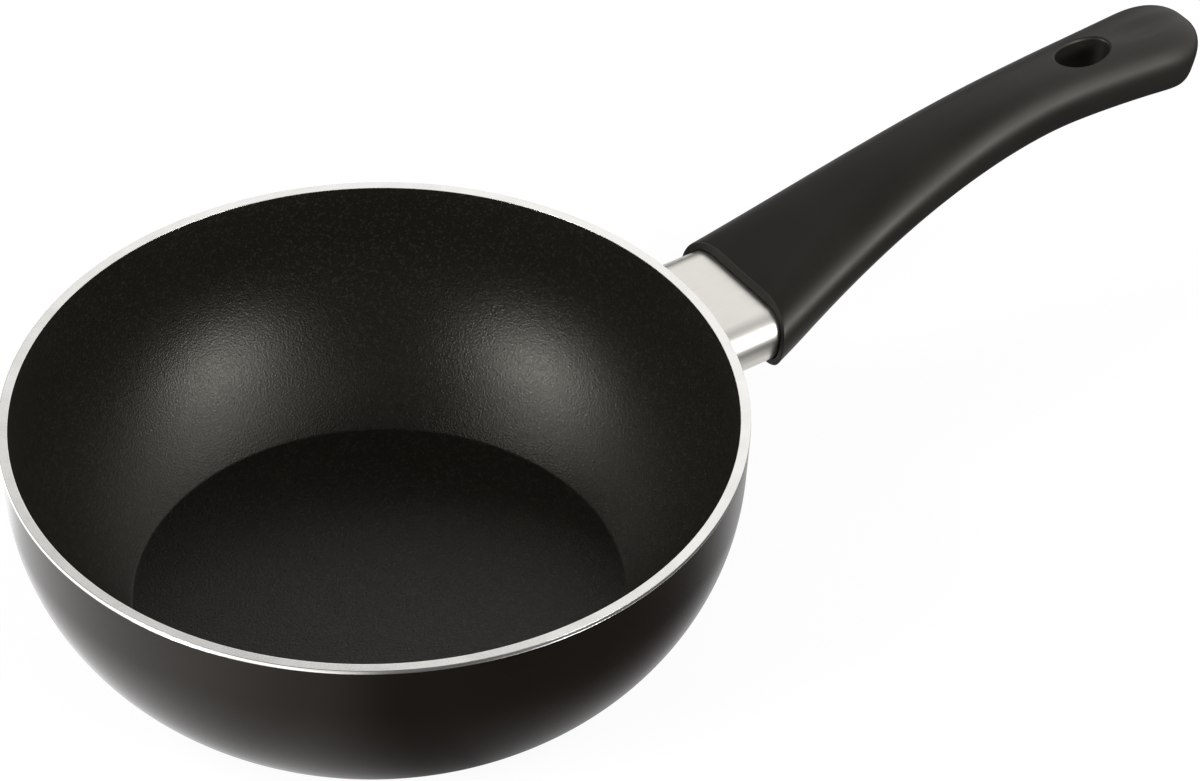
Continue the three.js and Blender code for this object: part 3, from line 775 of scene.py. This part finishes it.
def paintedMirrorLightAndShade(tree):  # the floor's painted light and shade, as mirrors alone show it
    stops = studio["mirroredLightAndShade"]
    first, last = stops[0][0], stops[-1][0]
    place = addNode(tree, "ShaderNodeTexCoord").outputs["Object"]
    right = addNode(tree, "ShaderNodeVectorMath", {
        0: place, 1: fromCamera(1, 0, 0)}, operation="DOT_PRODUCT").outputs["Value"]
    share = addNode(tree, "ShaderNodeMapRange", {
        "Value": right, "From Min": first, "From Max": last}).outputs["Result"]
    ramp = addNode(tree, "ShaderNodeValToRGB", {"Fac": share})
    ramp.color_ramp.interpolation = "EASE"
    while len(ramp.color_ramp.elements) < len(stops):
        ramp.color_ramp.elements.new(1)
    for element, (at, glow) in zip(ramp.color_ramp.elements, stops):
        element.position = (at - first) / (last - first)
        element.color = (glow, glow, glow, 1)
    total = ramp.outputs["Color"]
    for patch in studio["palerPaintedLight"]:  # a patch of painted light: rises along one direction, between a left and a right fade
        along = addNode(tree, "ShaderNodeVectorMath", {
            0: place, 1: fromCamera(*patch["along"], 0)}, operation="DOT_PRODUCT").outputs["Value"]
        palerPaintedLight = addNode(tree, "ShaderNodeMapRange", {
            "Value": along, "From Min": patch["from"], "From Max": patch["to"], "To Max": patch["glow"],
        }, interpolation_type="SMOOTHSTEP").outputs["Result"]
        inside = addNode(tree, "ShaderNodeMapRange", {
            "Value": right, "From Min": patch["left"][0], "From Max": patch["left"][1]}).outputs["Result"]
        beyond = addNode(tree, "ShaderNodeMapRange", {
            "Value": right, "From Min": patch["right"][0], "From Max": patch["right"][1],
            "To Min": 1, "To Max": 0}).outputs["Result"]
        faded = addNode(tree, "ShaderNodeMath", {0: inside, 1: beyond}, operation="MULTIPLY").outputs[0]
        total = addNode(tree, "ShaderNodeMath", {
            0: palerPaintedLight, 1: faded, 2: total}, operation="MULTIPLY_ADD").outputs[0]
    return total


def hangLamps():
    for lamp in studio["lamps"]:
        light = bpy.data.lights.new(lamp["name"], "AREA")
        light.shape = "RECTANGLE"
        light.size, light.size_y = lamp["size"]
        light.energy = lamp["glow"] * math.pi * lamp["size"][0] * lamp["size"][1]
        holder = bpy.data.objects.new(lamp["name"], light)
        scene.collection.objects.link(holder)
        aim = fromCamera(*lamp["aim"]).normalized()
        holder.location = Vector(studio["aimAt"]) + aim * lamp["away"]
        lean = Matrix.Rotation(math.radians(lamp["leanDeg"]), 3, "Z").to_quaternion()
        holder.rotation_euler = (aim.to_track_quat("Z", "Y") @ lean).to_euler()


def paintRoom():  # white where it shows, dimmer as a light
    world = bpy.data.worlds.new("paleRoom")
    world.use_nodes = True
    tree = world.node_tree
    tree.nodes.clear()
    dim = addNode(tree, "ShaderNodeBackground", {"Color": white, "Strength": studio["room"]})
    bright = addNode(tree, "ShaderNodeBackground", {"Color": white, "Strength": studio["roomShown"]})
    both = addNode(tree, "ShaderNodeMixShader", {
        0: shownRay(tree), 1: dim.outputs[0], 2: bright.outputs[0]})
    addNode(tree, "ShaderNodeOutputWorld", {"Surface": both.outputs[0]})
    scene.world = world


def paleFloor():  # lights the pan as plain paint, shows nearly white, and shows painted light and shade in mirrors
    material = newMaterial("paleFloor")
    tree = material.node_tree
    plain = addNode(tree, "ShaderNodeBsdfDiffuse", {"Color": linear(studio["floorColour"])})
    shade = addNode(tree, "ShaderNodeBsdfDiffuse", {"Color": [studio["floorShade"]] * 3 + [1]})
    glow = addNode(tree, "ShaderNodeEmission", {"Strength": studio["floorGlow"]})
    shown = addNode(tree, "ShaderNodeAddShader", {0: glow.outputs[0], 1: shade.outputs[0]})
    both = addNode(tree, "ShaderNodeMixShader", {
        0: shownRay(tree), 1: plain.outputs[0], 2: shown.outputs[0]})
    # in mirrors the floor shows this painted light and shade
    mirroredLightAndShade = addNode(tree, "ShaderNodeEmission", {"Strength": paintedMirrorLightAndShade(tree)})
    glossy = addNode(tree, "ShaderNodeLightPath").outputs["Is Glossy Ray"]
    last = addNode(tree, "ShaderNodeMixShader", {0: glossy, 1: both.outputs[0], 2: mirroredLightAndShade.outputs[0]})
    addNode(tree, "ShaderNodeOutputMaterial", {"Surface": last.outputs[0]})
    return material


def lightStudio():
    hangLamps()
    paintRoom()
    floor = addStage("floor", stageCircle(studio["floorRadius"], -studio["floorDrop"]))
    floor.data.materials.append(paleFloor())
    # a dark ceiling and panels that mirrors alone see: painted shade in reflections
    ceiling = addStage("darkCeiling", stageCircle(
        studio["ceilingRadius"], studio["ceilingHeight"], studio["ceilingLeft"]), dark=True)
    panels = [addStage("darkPanel", panelCorners(panel), dark=True) for panel in studio["panels"]]
    scene.view_settings.view_transform = "Standard"
    print("studio lit")


placeCamera()
lightStudio()
makePanBody()
makeFlameGuard()
makeHandle()
dressFixings()
